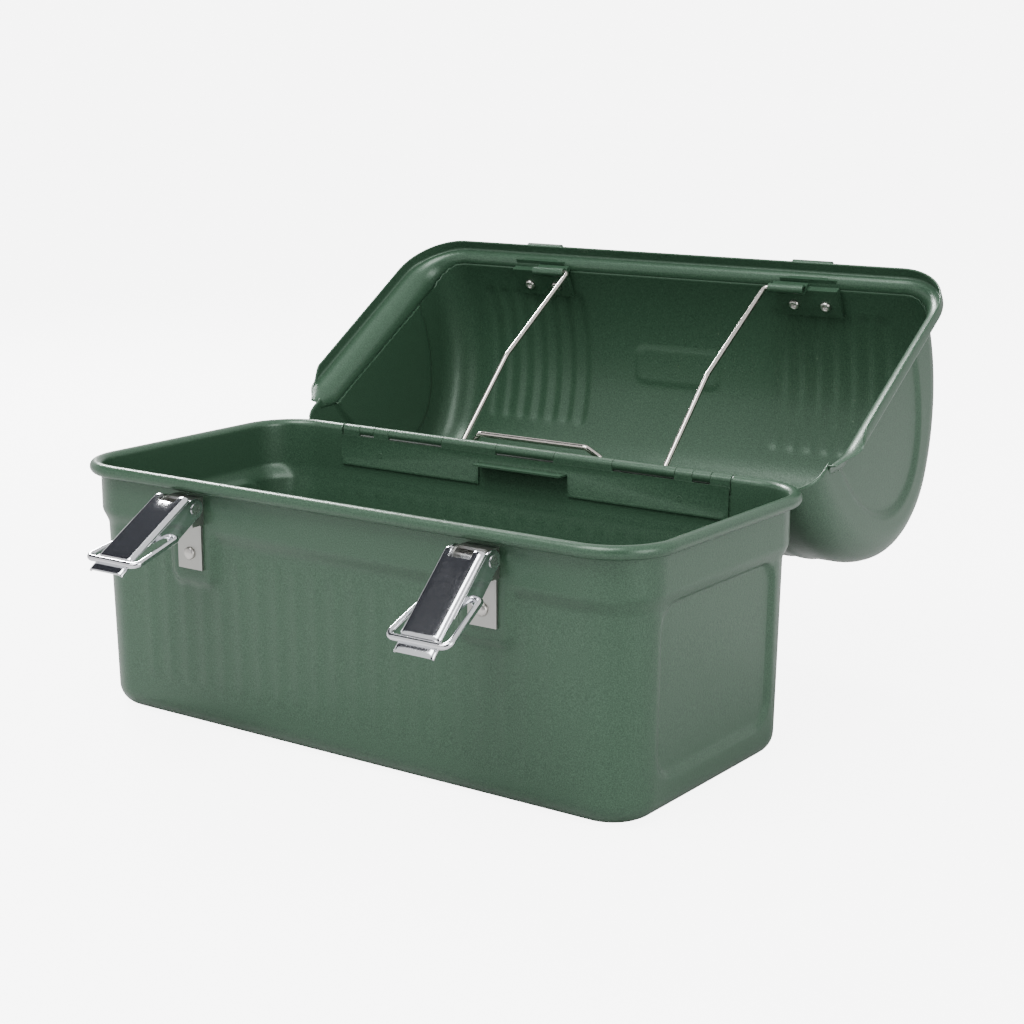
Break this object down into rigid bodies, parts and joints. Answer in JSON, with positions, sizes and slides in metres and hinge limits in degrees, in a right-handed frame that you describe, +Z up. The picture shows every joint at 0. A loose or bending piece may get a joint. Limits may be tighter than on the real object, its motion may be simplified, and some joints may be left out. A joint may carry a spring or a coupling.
{
  "type": "lunch box",
  "caption": "Deep metal lunch box with a domed lid on a piano hinge, draw latches in front, a wire bottle bail inside the lid and a carrying handle.",
  "frame": {"origin": "centre of the tub's footprint, on the resting plane", "axes": "+X along the length to the right as seen from the latches, -Y out of the latch side, +Z up"},
  "size_m": [0.3316, 0.352, 0.2076],
  "materials": {
    "green_paint": "hammertone enamel, semi-gloss",
    "hinge_steel": "hammertone enamel over rolled steel",
    "zinc_steel": "dull zinc plate",
    "rivet_steel": "plain steel, lightly worn",
    "pin_steel": "plain steel",
    "latch_chrome": "bright plate",
    "bail_wire": "bright drawn wire",
    "handle_wire": "bright zinc plate",
    "grip": "satin moulded plastic"
  },
  "bodies": {
    "base": {"base_shell": "green_paint", "hinge_base_leaf": "hinge_steel", "hinge_pin": "pin_steel", "latch_bracket_left": "zinc_steel", "latch_bracket_rivets_left": "rivet_steel", "latch_pin_left": "pin_steel", "latch_bracket_right": "zinc_steel", "latch_bracket_rivets_right": "rivet_steel", "latch_pin_right": "pin_steel"},
    "lid": {"lid_shell": "green_paint", "hinge_lid_leaf": "hinge_steel", "latch_keeper_left": "green_paint", "bail_bracket_left": "green_paint", "lid_rivets_left": "rivet_steel", "handle_bracket_left": "zinc_steel", "handle_rivets_left": "rivet_steel", "latch_keeper_right": "green_paint", "bail_bracket_right": "green_paint", "lid_rivets_right": "rivet_steel", "handle_bracket_right": "zinc_steel", "handle_rivets_right": "rivet_steel"},
    "bail": {"bottle_bail": "bail_wire"},
    "handle": {"handle_wire": "handle_wire", "handle_grip": "grip"},
    "lever_left": {"latch_lever_left": "latch_chrome"},
    "lever_right": {"latch_lever_right": "latch_chrome"},
    "loop_left": {"latch_loop_left": "latch_chrome"},
    "loop_right": {"latch_loop_right": "latch_chrome"}
  },
  "joints": [
    {"name": "lid_hinge", "type": "hinge", "parent": "base", "child": "lid", "pos_m": [0, 0.0761, 0.1188], "axis": [1, 0, 0], "range_deg": [0, 146.87]},
    {"name": "bottle_bail", "type": "hinge", "parent": "lid", "child": "bail", "pos_m": [0, 0.20217, 0.19332], "axis": [1, 0, 0], "range_deg": [-95, 0]},
    {"name": "handle", "type": "hinge", "parent": "lid", "child": "handle", "pos_m": [0, 0.1998, 0.06997], "axis": [1, 0, 0], "range_deg": [-61.87, 128.13]},
    {"name": "latch_lever_left", "type": "hinge", "parent": "base", "child": "lever_left", "pos_m": [-0.0835, -0.0808, 0.1093], "axis": [1, 0, 0], "range_deg": [0, 59]},
    {"name": "latch_lever_right", "type": "hinge", "parent": "base", "child": "lever_right", "pos_m": [0.0835, -0.0808, 0.1093], "axis": [1, 0, 0], "range_deg": [0, 45.6]},
    {"name": "latch_loop_left", "type": "hinge", "parent": "lever_left", "child": "loop_left", "pos_m": [-0.0835, -0.09477, 0.09857], "axis": [-1, 0, 0], "range_deg": [0, 149.79]},
    {"name": "latch_loop_right", "type": "hinge", "parent": "lever_right", "child": "loop_right", "pos_m": [0.0835, -0.0919, 0.09563], "axis": [-1, 0, 0], "range_deg": [0, 149.79]}
  ],
  "couplings": [
    {"joint": "latch_loop_left", "follows": "latch_lever_left", "ratio": 2.5388},
    {"joint": "latch_loop_right", "follows": "latch_lever_right", "ratio": 3.2849}
  ]
}
